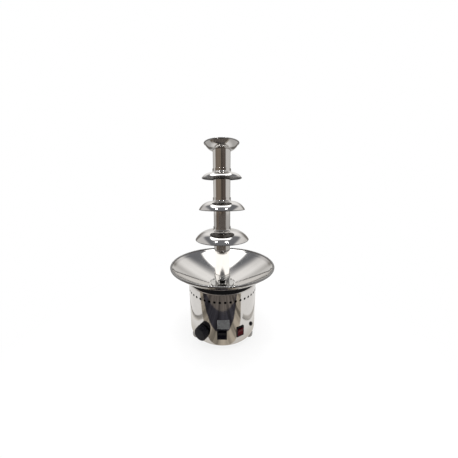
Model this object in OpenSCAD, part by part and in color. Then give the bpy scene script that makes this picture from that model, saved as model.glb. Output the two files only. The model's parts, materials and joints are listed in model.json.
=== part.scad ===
// Chocolate fountain: a heated bowl on a round base, a tube tower with three domed tiers and a crown,
// and an auger that lifts the chocolate from the bowl to the crown.
// Millimetres, Z up, table at z = 0, controls face -Y. Angles count from the front towards +X.

/* [Base] */
// outside diameter of the base shell
base_d = 224; // [210:1:240]
// height of the base shell
base_h = 172; // [160:1:190]
// sheet thickness of the shell
shell_t = 1.5; // [1:0.1:2]
// outside radius of the rolled lower edge
base_edge_r = 4; // [3:0.5:6]
// outside radius of the top shoulder
shoulder_r = 3; // [2.5:0.5:5]
// width of the inward lip that carries the bowl
top_lip_w = 15; // [14:0.5:18]
// width of the inward lip that carries the feet and the bottom cover
bottom_lip_w = 19; // [18:0.5:24]
// thickness of the bottom cover
cover_t = 1.5; // [1:0.1:2]
// number of vent holes round the shell
vent_count = 46; // [24:1:60]
// diameter of a vent hole
vent_d = 7.5; // [4:0.5:9]
// drop from the shell's top to the vent row
vent_drop = 25; // [18:1:30]

/* [Feet] */
// height of the shell's lower edge over the table
foot_h = 18; // [14:1:24]
// largest diameter of a foot
foot_d = 26; // [22:1:28]
// diameter of the levelling stud
stud_d = 8; // [6:1:8]
// how far a foot can be screwed out
foot_travel = 6; // [2:1:8]

/* [Bowl] */
// diameter over the rolled rim
bowl_d = 332; // [310:1:350]
// depth from the rim to the floor
bowl_depth = 76; // [66:1:82]
// height of the insulating ring at its outside
insulator_h = 8.9; // [7:0.1:12]
// diameter of the flat floor
floor_d = 88; // [84:1:96]
// sheet thickness of the bowl
bowl_t = 2; // [1.5:0.1:2.5]
// radius of the rolled rim
bowl_bead_r = 3; // [2.5:0.1:4]
// height of the steep band under the rim
band_h = 12; // [9:1:16]
// width of the steep band and rim together
band_w = 12; // [9:0.5:15]
// radius of the dish's curve
dish_arc_r = 400; // [300:10:700]

/* [Tower] */
// outside diameter of the tube
tube_d = 51; // [49:0.5:54]
// wall of the tube
tube_t = 1.5; // [1:0.1:2]
// diameter of the ring that the tower stands on
ring_d = 80; // [78:1:84]
// height of the inlet windows over the ring
window_h = 18; // [12:1:20]
// angle that one post between the windows takes
post_angle = 28; // [20:1:40]
// wall of the neck sleeves
sleeve_t = 1.5; // [1.3:0.1:2]
// sheet thickness of the tiers and the crown
tier_t = 1.2; // [1:0.1:1.3]
// radius of the rolled tier rims
tier_bead_r = 1.6; // [1.3:0.1:2.2]
// radius of the fillet from dome to neck
neck_r = 4; // [3:0.5:6]
// height of a neck sleeve over its dome
neck_h = 11; // [9:0.5:14]
// length of a neck sleeve under its dome
sleeve_drop = 6; // [4:0.5:8]
// part of an ellipse's quarter that a dome's curve takes, in degrees
dome_sweep = 62; // [45:1:75]

/* [Tiers] */
// diameter of the lower tier
lower_d = 168; // [150:1:180]
// height of the lower tier's dome
lower_h = 28; // [22:1:32]
// rise from the bowl's rim to the lower tier's rim
lower_gap = 80; // [76:1:92]
// diameter of the middle tier
middle_d = 140; // [126:1:148]
// height of the middle tier's dome
middle_h = 23; // [20:1:28]
// rise from the lower to the middle tier's rim
middle_gap = 93; // [86:1:100]
// diameter of the upper tier
upper_d = 118; // [108:1:124]
// height of the upper tier's dome
upper_h = 13.5; // [11:0.5:20]
// rise from the middle to the upper tier's rim
upper_gap = 90; // [84:1:98]

/* [Crown] */
// diameter of the crown's rim
crown_d = 100.5; // [94:0.5:112]
// depth of the crown's cup outside
crown_depth = 20; // [18:1:26]
// rise from the upper tier's rim to the crown's rim
crown_gap = 93; // [90:1:102]
// part of an ellipse's quarter that the cup's curve takes, in degrees
crown_sweep = 45; // [30:1:75]
// length of the crown's spigot in the tube
spigot_h = 10; // [8:1:12]

/* [Auger] */
// diameter of the auger's rod
rod_d = 15; // [14:0.5:18]
// advance of the flight for one turn
pitch = 36; // [28:1:48]
// thickness of the flight
flight_t = 2; // [1.5:0.1:3]
// gap from the flight to the tube
flight_gap = 1.6; // [1.5:0.1:2]
// diameter of the drive shaft
shaft_d = 10; // [9:0.5:12]

/* [Motor] */
// diameter of the gearbox
gearbox_d = 66; // [60:1:68]
// height of the gearbox
gearbox_h = 30; // [26:1:34]
// diameter of the motor
motor_d = 60; // [54:1:64]
// height of the motor
motor_h = 58; // [50:1:62]
// length of the pillars between bowl and motor plate
pillar_h = 19; // [18:1:22]

/* [Controls] */
// height of the switches and the fuse over the shell's lower edge
control_rise = 42; // [36:1:60]
// height of the knob over the switches
knob_lift = 0; // [0:1:8]
// angle of the knob
knob_angle = -31; // [-40:1:-28]
// angle of the motor's switch
motor_switch_angle = -1; // [-4:1:4]
// angle of the heat switch
heat_switch_angle = 28; // [24:1:34]
// angle of the fuse
fuse_angle = 53; // [48:0.5:60]
// diameter of the knob
knob_d = 43; // [38:1:50]
// height of the knob
knob_h = 18; // [14:1:22]
// number of flutes round the knob
flute_count = 12; // [8:1:18]
// width of the motor switch's frame
motor_switch_w = 29; // [26:0.5:34]
// width of the heat switch's frame
heat_switch_w = 24; // [22:0.5:30]
// height of both switch frames
switch_h = 32.5; // [31:0.5:40]
// thickness of a switch frame's rim
switch_rim = 2.4; // [2:0.1:3]
// throw of a rocker from one side to the other
rocker_throw = 20; // [16:1:20]
// diameter of the fuse cap
fuse_cap_d = 10.5; // [10:0.5:13]

/* [Hidden] */

$fn = 96;
// gap between parts that stand on each other or lift off
seat = 0.05;
// radial gap of a turning or sliding fit
run = 0.06;
// radial gap of a screw in its hole
slack = 0.25;
// gap of a sleeve on the tube
slip = 0.3;
// overlap that makes a cut pass its face
eps = 1;

base_r = base_d / 2;
shell_in = base_r - shell_t;
base_z = foot_h;
base_top = base_z + base_h;
foot_angles = [-60, 60, 180];
nut_h = stud_d * 0.8;
nut_af = stud_d * 1.6;
foot_pitch_r = base_r - base_edge_r - nut_af / 2 / cos(30) - slip;
foot_head_h = foot_h - slip;
foot_flat_r = foot_d * 0.31;
foot_ledge = 0.8;
pad_r = foot_flat_r - 1.2;
pad_h = 3;
stud_top = foot_h + shell_t + nut_h + foot_travel + 4;

cover_r = base_r - 11;
cover_screw_r = base_r - bottom_lip_w + 4;
cover_screw_d = 4;
cover_screw_angles = [30, 90, 150, 210, 270, 330];

// the dish is placed so that its underside rests on the insulating ring
insulator_edge = 2.5;
insulator_lip = 3;
insulator_out = base_r - insulator_edge;
insulator_in = base_r - top_lip_w + insulator_lip;
bowl_r = bowl_d / 2;
dish_start = [floor_d / 2, 0];
dish_end = [bowl_r - band_w, bowl_depth - band_h];
dish_c = arc_centre(dish_start, dish_end, dish_arc_r);
floor_z = base_top + insulator_h - dish_under(insulator_out);
floor_under = floor_z - bowl_t;
rim_z = floor_z + bowl_depth;

bowl_stud_r = (insulator_in + insulator_out) / 2;
bowl_stud_d = 5;
bowl_stud_tail = 12;
bowl_stud_angles = [45, 135, 225, 315];

tube_r = tube_d / 2;
tube_in = tube_r - tube_t;
sleeve_in = tube_r + slip;
sleeve_out = sleeve_in + sleeve_t;
ring_t = 4;
socket_lip = 2;
socket_h = 14;
ring_z = floor_z + seat;
tube_z = ring_z + ring_t + window_h + socket_lip + seat;
peg_r = ring_d / 2 - 5;
peg_d = 5;
peg_h = 6;

lower_z = rim_z + lower_gap;
middle_z = lower_z + middle_gap;
upper_z = middle_z + upper_gap;
crown_z = upper_z + crown_gap;
tube_top = crown_z - crown_depth;
spigot_out = tube_in - slip;
spigot_in = spigot_out - 0.8;
tier_pin_d = 4;
tier_pin_out = sleeve_out + 1;
tier_pin_angles = [0, 120, 240];

bush_d = 16;
bush_flange_d = 22;
bush_flange_t = 2;
seal_h = 5;
seal_d = 20;
seal_top = floor_z + bush_flange_t + seal_h;
rod_z = seal_top + 0.6;
shaft_tip_r = shaft_d / 2 - 1;
shaft_tip = rod_z + 22;
rod_top = tube_top + 4;
drive_pin_d = 3;
drive_pin_z = rod_z + 5.4;
flight_r = tube_in - flight_gap;
flight_z = rod_z + 8.5;
flight_top = tube_top - 6;
flight_steps = 28;

plate_t = 3;
plate_top = floor_under - pillar_h;
plate_z = plate_top - plate_t;
plate_r = 47;
pillar_r = 5;
pillar_pitch_r = 40;
pillar_angles = [30, 150, 270];
boss_r = 11;
gearbox_z = plate_z - gearbox_h;
motor_z = gearbox_z - motor_h;
shaft_sink = 20;
m4 = 4;
m4_bite = 8;
m4_hole = 10;
gear_screw_r = 24;

heater_r = 75;
heater_tube_r = 4;
heater_z = under_z(heater_r, heater_tube_r + 0.2);
heater_gap_angle = 30;
heater_pin_r = heater_tube_r - 1;
heater_pin_l = 16;
heater_pin_angle = heater_gap_angle / 2 + 4;
clamp_angles = [45, 165, 285];
clamp_width_angle = 10;
clamp_foot = 5;
bulb_r = 58;
bulb_tube_r = 2.5;
bulb_z = under_z(bulb_r, bulb_tube_r + 0.2);

control_z = base_z + control_rise;
knob_z = control_z + knob_lift;
wall_gap = 0.1;
frame_edge = 1;
frame_wall = 1.3;
frame_h = switch_h - 2 * frame_edge;
frame_depth = 28;
well_h = frame_h - 2 * frame_wall;
well_depth = 12;
rocker_side_gap = 0.3;
rocker_end_gap = 1.6;
rocker_h = well_h - 2 * rocker_end_gap;
pivot_u = -4;
pivot_d = 3;
pivot_l = 1.1;
flange_sink = 6;
blade_w = 6.3;
blade_t = 0.8;
blade_l = 9;
blade_pitch = 8;
bushing_r = 5;
bushing_proud = 3.4;
thermostat_w = 34;
thermostat_depth = 22;
dial_shaft_r = 3;
dial_shaft_sink = 9;
knob_u = 2;
knob_web = 5;
knob_recess = 4;
fuse_r = 5;
fuse_bore_r = 3.9;
fuse_depth = 34;
fuse_floor = 3;
fuse_nut_h = 4;
fuse_flange_r = 6.5;
fuse_flange = 1.5;
fuse_plug = 6;
fuse_cap_h = 2.2;
fuse_link_r = 2.6;
fuse_link_l = 20;
fuse_grip = 4;
gland_z = base_z + 34;
gland_bore_r = 3.7;
gland_bore_l = 13;
gland_out = 16;
gland_r = 8;
gland_hex = 20;
gland_hex_h = 6;

// points and sheets

function arc(c, r, a0, a1, n = 8) =
    [for (i = [0:n]) c + r * [cos(a0 + (a1 - a0) * i / n), sin(a0 + (a1 - a0) * i / n)]];

// centre of an arc from a to b that sags to the right of the chord
function arc_centre(a, b, r) =
    let (h = norm(b - a) / 2)
    let (u = (b - a) / (2 * h))
    (a + b) / 2 + sqrt(r * r - h * h) * [-u[1], u[0]];

function arc_between(a, b, r, n = 12) =
    let (c = arc_centre(a, b, r))
    let (a0 = atan2(a[1] - c[1], a[0] - c[0]))
    let (a1 = atan2(b[1] - c[1], b[0] - c[0]))
    arc(c, r, a0, a1, n);

// part of an ellipse from a, which it leaves level, to b
function bowed(a, b, sweep, n = 14) =
    [
        for (i = [0:n])
            let (t = sweep * i / n)
            [
                a[0] + (b[0] - a[0]) * sin(t) / sin(sweep),
                a[1] + (b[1] - a[1]) * (1 - cos(t)) / (1 - cos(sweep))
            ]
    ];

// fall of that curve where it reaches b, in degrees
function bowed_fall(a, b, sweep) =
    atan((a[1] - b[1]) / (b[0] - a[0]) * (1 + cos(sweep)) / cos(sweep));

function distinct(p) =
    [for (i = [0:len(p) - 1]) if (i == 0 || norm(p[i] - p[max(i - 1, 0)]) > 0.001) p[i]];

function right_of(a, b) = [b[1] - a[1], a[0] - b[0]] / norm(b - a);

function offset_point(p, i, t) =
    let (n1 = right_of(p[max(i - 1, 0)], p[max(i, 1)]))
    let (n2 = right_of(p[min(i, len(p) - 2)], p[min(i + 1, len(p) - 1)]))
    let (m = (n1 + n2) / norm(n1 + n2))
    p[i] + m * t / (m * n1);

// closed outline of a sheet whose left face runs along the path
function sheet(path, t) =
    let (p = distinct(path))
    concat(p, [for (i = [len(p) - 1:-1:0]) offset_point(p, i, t)]);

// height of the dish's underside over the floor's top at radius r, lowered by gap
function dish_under(r, gap = 0) =
    dish_c[1] - sqrt(pow(dish_arc_r + bowl_t + gap, 2) - pow(r - dish_c[0], 2));

function under_z(r, gap = 0) = floor_z + dish_under(r, gap);

module turned(points) {
    rotate_extrude()
        polygon(points);
}

module ring_bead(r, z, bead) {
    rotate_extrude()
        translate([r, z])
            circle(r = bead, $fn = 32);
}

module tube(r_out, r_in, z, h) {
    translate([0, 0, z])
        difference() {
            cylinder(r = r_out, h = h);
            translate([0, 0, -eps])
                cylinder(r = r_in, h = h + 2 * eps);
        }
}

module round_at(angles, r) {
    for (a = angles)
        rotate([0, 0, a])
            translate([0, -r, 0])
                children();
}

// frame on the shell's outside: x along the wall, y up, z outwards
module on_wall(angle, z) {
    rotate([0, 0, angle])
        translate([0, -base_r, z])
            rotate([90, 0, 0])
                children();
}

module wall_body() {
    translate([0, 0, -base_r])
        rotate([90, 0, 0])
            cylinder(r = base_r + wall_gap, h = 200, center = true, $fn = 180);
}

module block(w, h, u0, u1) {
    translate([-w / 2, -h / 2, u0])
        cube([w, h, u1 - u0]);
}

module hex(af, h) {
    cylinder(d = af / cos(30), h = h, $fn = 6);
}

// tower

module crown() {
    bead_c = [crown_d / 2 - tier_bead_r, crown_z - tier_bead_r];
    floor = tube_top + seat;
    cup = concat(
        [[spigot_in, floor]],
        bowed([tube_r, floor], bead_c, crown_sweep)
    );
    color("silver") {
        turned(sheet(cup, -tier_t));
        ring_bead(bead_c[0], bead_c[1], tier_bead_r);
        tube(spigot_out, spigot_in, floor - spigot_h, spigot_h + tier_t);
    }
}

module tier(d, z, h) {
    top = z + h;
    bead_c = [d / 2 - tier_bead_r, z - tier_bead_r];
    root = [sleeve_out + neck_r, top];
    fall = bowed_fall(root, [d / 2, z], dome_sweep);
    skin = concat(
        arc(root + [0, neck_r], neck_r, 180, 270, 6),
        bowed(root, bead_c + tier_bead_r * [sin(fall), cos(fall)], dome_sweep)
    );
    difference() {
        union() {
            turned(sheet(skin, tier_t));
            ring_bead(bead_c[0], bead_c[1], tier_bead_r);
            tube(sleeve_out, sleeve_in, top - sleeve_drop, sleeve_drop + neck_h);
        }
        for (a = tier_pin_angles)
            rotate([0, 0, a + 60])
                translate([-tier_pin_d / 2 - slip, -tier_pin_out - slip, top - sleeve_drop - eps])
                    cube([tier_pin_d + 2 * slip, 6, sleeve_drop + neck_h + 2 * eps]);
    }
}

module tier_upper() {
    color("silver")
        tier(upper_d, upper_z, upper_h);
}

module tier_middle() {
    color("silver")
        tier(middle_d, middle_z, middle_h);
}

module tier_lower() {
    color("silver")
        tier(lower_d, lower_z, lower_h);
}

module tower_tube() {
    sleeve_ends = [lower_z + lower_h, middle_z + middle_h, upper_z + upper_h];
    color("silver") {
        tube(tube_r, tube_in, tube_z, tube_top - tube_z);
        for (end = sleeve_ends)
            for (a = tier_pin_angles)
                rotate([0, 0, a])
                    translate([0, -tube_in - tube_t / 3, end - sleeve_drop - tier_pin_d / 2 - seat])
                        rotate([90, 0, 0])
                            cylinder(d = tier_pin_d, h = tier_pin_out - tube_in - tube_t / 3, $fn = 24);
    }
}

module tower_ring() {
    post_z = ring_z + ring_t;
    socket_in = tube_r + run;
    socket_out = socket_in + sleeve_t;
    color("lightgray")
        difference() {
            union() {
                tube(ring_d / 2 - ring_t / 2, tube_in, ring_z, ring_t);
                ring_bead(ring_d / 2 - ring_t / 2, ring_z + ring_t / 2, ring_t / 2);
                tube(socket_out, tube_in, ring_z, ring_t + window_h + socket_lip + socket_h);
            }
            translate([0, 0, post_z + window_h + socket_lip])
                cylinder(r = socket_in, h = socket_h + eps);
            for (a = [0:90:270])
                rotate([0, 0, a])
                    translate([0, 0, post_z])
                        rotate_extrude(angle = 90 - post_angle, start = -135 + post_angle / 2)
                            translate([tube_in - eps, 0])
                                square([sleeve_t + tube_t + 3 * eps, window_h]);
            round_at([0, 120, 240], peg_r)
                translate([0, 0, ring_z - eps])
                    cylinder(r = peg_d / 2 + slip, h = ring_t + 2 * eps, $fn = 32);
        }
}

// auger and drive

module auger_rod() {
    color("gainsboro")
        difference() {
            union() {
                translate([0, 0, rod_z])
                    cylinder(d = rod_d, h = rod_top - rod_d / 2 - rod_z);
                translate([0, 0, rod_top - rod_d / 2])
                    sphere(d = rod_d);
            }
            translate([0, 0, rod_z - eps])
                cylinder(r = shaft_tip_r + run, h = shaft_tip + seat - rod_z + eps);
            translate([-rod_d, -drive_pin_d / 2 - run, rod_z - eps])
                cube([2 * rod_d, drive_pin_d + 2 * run, drive_pin_z + drive_pin_d / 2 + run - rod_z + eps]);
        }
}

// screw blade: a thin rectangle carried round and up the rod
module auger_flight() {
    turns = (flight_top - flight_z) / pitch;
    n = ceil(turns * flight_steps);
    inner = (rod_d / 2 + run) / cos(180 / flight_steps);
    points = [
        for (i = [0:n])
            let (a = 360 * turns * i / n)
            let (z = flight_z + (flight_top - flight_t - flight_z) * i / n)
            for (q = [[inner, 0], [flight_r, 0], [flight_r, flight_t], [inner, flight_t]])
                [q[0] * cos(a), q[0] * sin(a), z + q[1]]
    ];
    sides = [
        for (i = [0:n - 1])
            for (k = [0:3])
                let (p = 4 * i + k)
                let (q = 4 * i + (k + 1) % 4)
                for (t = [[p, p + 4, q], [q, p + 4, q + 4]])
                    t
    ];
    ends = [[0, 1, 2], [0, 2, 3], [4 * n, 4 * n + 2, 4 * n + 1], [4 * n, 4 * n + 3, 4 * n + 2]];
    color("gainsboro")
        polyhedron(points, concat(sides, ends));
}

module drive_shaft() {
    color("darkgray")
        difference() {
            union() {
                translate([0, 0, plate_z - shaft_sink + seat])
                    cylinder(d = shaft_d, h = seal_top - plate_z + shaft_sink - seat);
                translate([0, 0, seal_top])
                    cylinder(r = shaft_tip_r, h = shaft_tip - seal_top);
            }
            translate([-rod_d, 0, drive_pin_z])
                rotate([0, 90, 0])
                    cylinder(d = drive_pin_d, h = 2 * rod_d, $fn = 24);
        }
}

module drive_pin() {
    color("gray")
        translate([-rod_d / 2, 0, drive_pin_z])
            rotate([0, 90, 0])
                cylinder(r = drive_pin_d / 2 - seat / 2, h = rod_d, $fn = 24);
}

module shaft_seal() {
    color("black")
        tube(seal_d / 2, shaft_d / 2 + run, floor_z + bush_flange_t, seal_h);
}

module shaft_bush() {
    color("silver")
        difference() {
            union() {
                translate([0, 0, plate_top + 6])
                    cylinder(d = bush_d, h = floor_z - plate_top - 6);
                translate([0, 0, floor_z])
                    cylinder(d = bush_flange_d, h = bush_flange_t);
            }
            translate([0, 0, plate_top])
                cylinder(d = shaft_d + 2 * run, h = floor_z - plate_top + bush_flange_t + eps);
        }
}

module bush_nut() {
    color("gray")
        difference() {
            translate([0, 0, floor_under - 6])
                hex(bush_d * 1.5, 6);
            translate([0, 0, floor_under - 6 - eps])
                cylinder(d = bush_d + 2 * run, h = 6 + 2 * eps);
        }
}

// bowl and what hangs under it

module bowl() {
    up = [0, floor_z];
    bead_c = [bowl_r - bowl_bead_r, rim_z - bowl_bead_r];
    skin = concat(
        [[bush_d / 2 + run, floor_z]],
        arc_between(dish_start + up, dish_end + up, dish_arc_r, 16),
        [bead_c]
    );
    color("silver") {
        turned(sheet(skin, bowl_t));
        ring_bead(bead_c[0], bead_c[1], bowl_bead_r);
    }
}

module locating_pegs() {
    color("darkgray")
        round_at([0, 120, 240], peg_r)
            translate([0, 0, floor_z])
                cylinder(d = peg_d, h = peg_h, $fn = 32);
}

module insulating_ring() {
    step = (insulator_out - insulator_in) / 6;
    slope = [for (i = [0:6]) let (r = insulator_out - step * i) [r, under_z(r, seat)]];
    color([0.05, 0.05, 0.05])
        difference() {
            turned(concat([[insulator_in, base_top], [insulator_out, base_top]], slope));
            round_at(bowl_stud_angles, bowl_stud_r)
                translate([0, 0, base_top - eps])
                    cylinder(r = bowl_stud_d / 2 + slack, h = insulator_h + 2 * eps, $fn = 32);
        }
}

module bowl_studs() {
    top = under_z(bowl_stud_r - bowl_stud_d / 2, seat);
    color("darkgray")
        round_at(bowl_stud_angles, bowl_stud_r)
            translate([0, 0, base_top - shell_t - bowl_stud_tail])
                cylinder(d = bowl_stud_d, h = top - base_top + shell_t + bowl_stud_tail, $fn = 32);
}

module bowl_nuts() {
    h = bowl_stud_d * 0.8;
    color("gray")
        round_at(bowl_stud_angles, bowl_stud_r)
            translate([0, 0, base_top - shell_t - h])
                difference() {
                    hex(bowl_stud_d * 1.6, h);
                    translate([0, 0, -eps])
                        cylinder(r = bowl_stud_d / 2 + seat, h = h + 2 * eps, $fn = 32);
                }
}

module heating_element() {
    half = heater_gap_angle / 2;
    color("dimgray") {
        rotate_extrude(angle = 360 - heater_gap_angle, start = 90 + half)
            translate([heater_r, heater_z])
                circle(r = heater_tube_r, $fn = 32);
        for (side = [-1, 1])
            rotate([0, 0, side * heater_pin_angle])
                translate([0, heater_r, heater_z - heater_pin_l])
                    cylinder(r = heater_pin_r, h = heater_pin_l, $fn = 32);
    }
}

module heater_clamps() {
    grip = heater_tube_r + run;
    span = grip + tier_t;
    slope = asin((heater_r - dish_c[0]) / (dish_arc_r + bowl_t));
    color("lightgray")
        for (a = clamp_angles)
            rotate_extrude(angle = clamp_width_angle, start = a)
                intersection() {
                    translate([heater_r, heater_z])
                        rotate(slope)
                            difference() {
                                union() {
                                    circle(r = span, $fn = 48);
                                    translate([-span - clamp_foot, grip - 1.4 - tier_t])
                                        square([2 * (span + clamp_foot), tier_t]);
                                }
                                circle(r = grip, $fn = 48);
                                translate([-grip, 0])
                                    square([2 * grip, span]);
                            }
                    polygon(concat(
                        [[heater_r + 20, floor_under - 30], [heater_r - 20, floor_under - 30]],
                        [for (i = [-20:4:20]) [heater_r + i, under_z(heater_r + i, seat)]]
                    ));
                }
}

module thermal_cutout() {
    color("tan")
        rotate([0, 0, 210])
            translate([0, -30, floor_under - 7]) {
                cylinder(r = 7, h = 7, $fn = 48);
                for (x = [-3, 3])
                    translate([x - 0.4, -2, -6])
                        cube([0.8, 4, 6 + eps]);
            }
}

module thermostat_bulb() {
    color("peru")
        rotate_extrude(angle = 60, start = -130)
            translate([bulb_r, bulb_z])
                circle(r = bulb_tube_r, $fn = 32);
}

module motor_plate() {
    color("lightgray")
        difference() {
            translate([0, 0, plate_z])
                cylinder(r = plate_r, h = plate_t);
            translate([0, 0, plate_z - eps])
                cylinder(r = boss_r + slack, h = plate_t + 2 * eps);
            round_at(pillar_angles, pillar_pitch_r)
                translate([0, 0, plate_z - eps])
                    cylinder(r = m4 / 2 + slack, h = plate_t + 2 * eps, $fn = 32);
            round_at([0, 90, 180, 270], gear_screw_r)
                translate([0, 0, plate_z - eps])
                    cylinder(r = m4 / 2 + slack, h = plate_t + 2 * eps, $fn = 32);
        }
}

module motor_pillars() {
    color("darkgray")
        round_at(pillar_angles, pillar_pitch_r)
            translate([0, 0, plate_top])
                difference() {
                    cylinder(r = pillar_r, h = pillar_h, $fn = 48);
                    translate([0, 0, -eps])
                        cylinder(r = m4 / 2 + seat, h = m4_hole + eps, $fn = 32);
                }
}

module cap_screw(d, shank) {
    cylinder(d = d, h = shank, $fn = 32);
    translate([0, 0, -0.6 * d])
        difference() {
            cylinder(d = 1.9 * d, h = 0.6 * d, $fn = 32);
            translate([0, 0, -eps])
                hex(0.55 * d, 0.3 * d + eps);
        }
}

module plate_screws() {
    color("gray")
        round_at(pillar_angles, pillar_pitch_r)
            translate([0, 0, plate_z])
                cap_screw(m4, plate_t + m4_bite);
}

module gearbox() {
    color("slategray")
        difference() {
            union() {
                translate([0, 0, gearbox_z])
                    cylinder(d = gearbox_d, h = gearbox_h);
                translate([0, 0, plate_z])
                    cylinder(r = boss_r, h = plate_t);
            }
            translate([0, 0, plate_z - shaft_sink])
                cylinder(d = shaft_d + 2 * run, h = shaft_sink + plate_t + eps);
            round_at([0, 90, 180, 270], gear_screw_r)
                translate([0, 0, plate_z - m4_hole])
                    cylinder(r = m4 / 2 + seat, h = m4_hole + eps, $fn = 32);
        }
}

module gearbox_screws() {
    color("gray")
        round_at([0, 90, 180, 270], gear_screw_r)
            translate([0, 0, plate_top])
                mirror([0, 0, 1])
                    cap_screw(m4, plate_t + m4_bite);
}

module motor() {
    bell = 8;
    color("dimgray") {
        translate([0, 0, motor_z + bell])
            cylinder(d = motor_d, h = motor_h - bell);
        translate([0, 0, motor_z])
            cylinder(d1 = motor_d - 14, d2 = motor_d - 4, h = bell);
    }
}

// base

module base_shell() {
    b = base_edge_r;
    s = shoulder_r;
    skin = concat(
        [[base_r - bottom_lip_w, base_z]],
        arc([base_r - b, base_z + b], b, -90, 0, 8),
        arc([base_r - s, base_top - s], s, 0, 90, 6),
        [[base_r - top_lip_w, base_top]]
    );
    cut_h = 12;
    color("silver")
        difference() {
            turned(sheet(skin, -shell_t));
            for (i = [0:vent_count - 1])
                on_wall((i + 0.5) * 360 / vent_count, base_top - vent_drop)
                    translate([0, 0, -cut_h])
                        cylinder(d = vent_d, h = 2 * cut_h, $fn = 32);
            for (s = [[motor_switch_angle, motor_switch_w], [heat_switch_angle, heat_switch_w]])
                on_wall(s[0], control_z)
                    block(s[1] - 2 * frame_edge + 2 * wall_gap, frame_h + 2 * wall_gap, -cut_h, cut_h);
            on_wall(knob_angle, knob_z)
                translate([0, 0, -cut_h])
                    cylinder(r = bushing_r + slack, h = 2 * cut_h, $fn = 48);
            on_wall(fuse_angle, control_z)
                translate([0, 0, -cut_h])
                    cylinder(r = fuse_r + slack, h = 2 * cut_h, $fn = 48);
            on_wall(180, gland_z)
                translate([0, 0, -cut_h])
                    cylinder(r = gland_r + slack, h = 2 * cut_h, $fn = 48);
            round_at(foot_angles, foot_pitch_r)
                translate([0, 0, base_z - eps])
                    cylinder(r = stud_d / 2 + slack, h = shell_t + 2 * eps, $fn = 48);
            round_at(cover_screw_angles, cover_screw_r)
                translate([0, 0, base_z - eps])
                    cylinder(r = cover_screw_d / 2 + seat, h = shell_t + 2 * eps, $fn = 32);
            round_at(bowl_stud_angles, bowl_stud_r)
                translate([0, 0, base_top - shell_t - eps])
                    cylinder(r = bowl_stud_d / 2 + slack, h = shell_t + 2 * eps, $fn = 32);
        }
}

module bottom_cover() {
    color("gray")
        translate([0, 0, base_z - cover_t])
            difference() {
                cylinder(r = cover_r, h = cover_t);
                round_at(foot_angles, foot_pitch_r)
                    translate([0, 0, -eps])
                        cylinder(r = foot_d / 2 + 2, h = cover_t + 2 * eps);
                round_at(cover_screw_angles, cover_screw_r)
                    translate([0, 0, -eps])
                        cylinder(r = cover_screw_d / 2 + slack, h = cover_t + 2 * eps, $fn = 32);
            }
}

module cover_screws() {
    color("gray")
        round_at(cover_screw_angles, cover_screw_r)
            translate([0, 0, base_z - cover_t])
                cap_screw(cover_screw_d, cover_t + shell_t + cover_screw_d);
}

module foot_nuts() {
    color("gray")
        round_at(foot_angles, foot_pitch_r)
            translate([0, 0, base_z + shell_t])
                difference() {
                    hex(nut_af, nut_h);
                    translate([0, 0, -eps])
                        cylinder(r = stud_d / 2 + run, h = nut_h + 2 * eps, $fn = 48);
                }
}

// bullet foot with its stud, hollowed under for the pad
module foot(angle) {
    r = foot_d / 2;
    belly = 10;
    curve = [
        for (i = [0:8])
            let (t = 90 * i / 8)
            [foot_flat_r + (r - foot_flat_r) * sin(t), belly - (belly - foot_ledge) * cos(t)]
    ];
    outline = concat(
        [[0, pad_h + seat], [pad_r + seat, pad_h + seat], [pad_r + seat, foot_ledge]],
        curve,
        [
            [r, foot_head_h - 2],
            [r - 2, foot_head_h],
            [stud_d / 2, foot_head_h],
            [stud_d / 2, stud_top],
            [0, stud_top]
        ]
    );
    color("gainsboro")
        round_at([angle], foot_pitch_r)
            turned(outline);
}

module foot_pad(angle) {
    color([0.08, 0.08, 0.08])
        round_at([angle], foot_pitch_r)
            cylinder(r = pad_r, h = pad_h, $fn = 48);
}

module foot_left() {
    foot(foot_angles[0]);
}

module foot_right() {
    foot(foot_angles[1]);
}

module foot_rear() {
    foot(foot_angles[2]);
}

module foot_pad_left() {
    foot_pad(foot_angles[0]);
}

module foot_pad_right() {
    foot_pad(foot_angles[1]);
}

module foot_pad_rear() {
    foot_pad(foot_angles[2]);
}

// controls

module thermostat_body() {
    front = sqrt(pow(shell_in, 2) - pow(thermostat_w / 2, 2)) - base_r - wall_gap;
    color("ivory")
        on_wall(knob_angle, knob_z)
            difference() {
                union() {
                    block(thermostat_w, thermostat_w, front - thermostat_depth, front);
                    translate([0, 0, front - eps])
                        cylinder(r = bushing_r, h = eps - front + bushing_proud, $fn = 48);
                }
                translate([0, 0, -dial_shaft_sink - slip])
                    cylinder(r = dial_shaft_r + run, h = 2 * thermostat_depth, $fn = 48);
            }
}

module thermostat_nut() {
    color("gray")
        on_wall(knob_angle, knob_z)
            difference() {
                hex(15, 3);
                translate([0, 0, -eps])
                    cylinder(r = bushing_r + run, h = 3 + 2 * eps, $fn = 48);
                wall_body();
            }
}

module thermostat_shaft() {
    color("darkgray")
        on_wall(knob_angle, knob_z)
            translate([0, 0, -dial_shaft_sink])
                cylinder(r = dial_shaft_r, h = knob_u + knob_h - knob_web + dial_shaft_sink, $fn = 48);
}

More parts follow.
